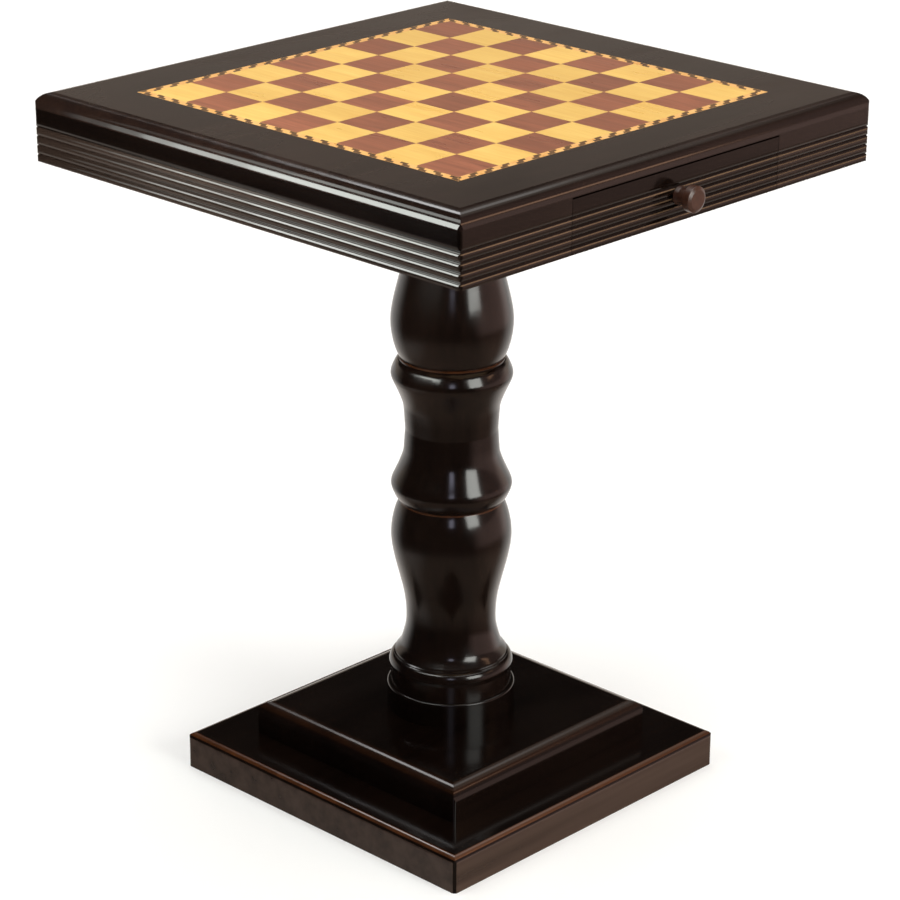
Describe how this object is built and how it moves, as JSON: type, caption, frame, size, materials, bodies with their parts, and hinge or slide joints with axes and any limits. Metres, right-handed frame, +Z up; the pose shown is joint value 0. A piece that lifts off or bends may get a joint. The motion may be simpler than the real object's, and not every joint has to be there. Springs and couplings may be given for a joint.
{
  "type": "chess table",
  "caption": "Square chess table on a turned pedestal and stepped base, with an inlaid board, reeded apron and a small knobbed drawer.",
  "frame": {"origin": "on the floor, on the axis of the turned column, which is also the middle of the square top", "axes": "+Z up; the drawer opens towards -Y; +X is to the right of someone facing the drawer"},
  "size_m": [0.56, 0.5825, 0.71],
  "materials": {
    "espresso_lacquer": "gloss lacquer over a near-black espresso stain",
    "light_veneer": "golden maple veneer under clear gloss lacquer",
    "dark_veneer": "reddish brown veneer with fine straight grain under clear gloss lacquer",
    "light_banding": "light stringing wood under clear gloss lacquer",
    "dark_banding": "dark dyed wood under clear gloss lacquer",
    "knob_lacquer": "satin lacquer over a reddish brown stain",
    "frame_wood": "planed hardwood, unfinished",
    "drawer_wood": "sanded light hardwood with a thin clear seal",
    "plywood": "thin plywood, sanded",
    "zinc_steel": "bright zinc plate"
  },
  "bodies": {
    "table": {"top_panel": "espresso_lacquer", "light_squares": "light_veneer", "dark_squares": "dark_veneer", "border_band": "light_banding", "border_dashes": "dark_banding", "apron_front_left": "espresso_lacquer", "apron_front_right": "espresso_lacquer", "apron_right": "espresso_lacquer", "apron_back": "espresso_lacquer", "apron_left": "espresso_lacquer", "corner_blocks": "frame_wood", "cross_bearer": "frame_wood", "mount_block": "frame_wood", "drawer_guide_right": "frame_wood", "drawer_guide_left": "frame_wood", "drawer_slip_right": "drawer_wood", "drawer_slip_left": "drawer_wood", "drawer_stop": "frame_wood", "column": "espresso_lacquer", "collar": "espresso_lacquer", "base_upper": "espresso_lacquer", "base_lower": "espresso_lacquer", "tie_rod": "zinc_steel", "rod_nuts": "zinc_steel", "rod_washers": "zinc_steel", "bearer_screws": "zinc_steel", "block_screws": "zinc_steel", "guide_screws": "zinc_steel", "stop_screws": "zinc_steel", "base_screws": "zinc_steel"},
    "drawer": {"drawer_front": "espresso_lacquer", "drawer_side_right": "drawer_wood", "drawer_side_left": "drawer_wood", "drawer_back": "drawer_wood", "drawer_bottom": "plywood", "knob": "knob_lacquer", "knob_screw": "zinc_steel"}
  },
  "joints": [
    {"name": "drawer_slide", "type": "slide", "parent": "table", "child": "drawer", "axis": [0, -1, 0], "range_m": [0, 0.14]}
  ]
}
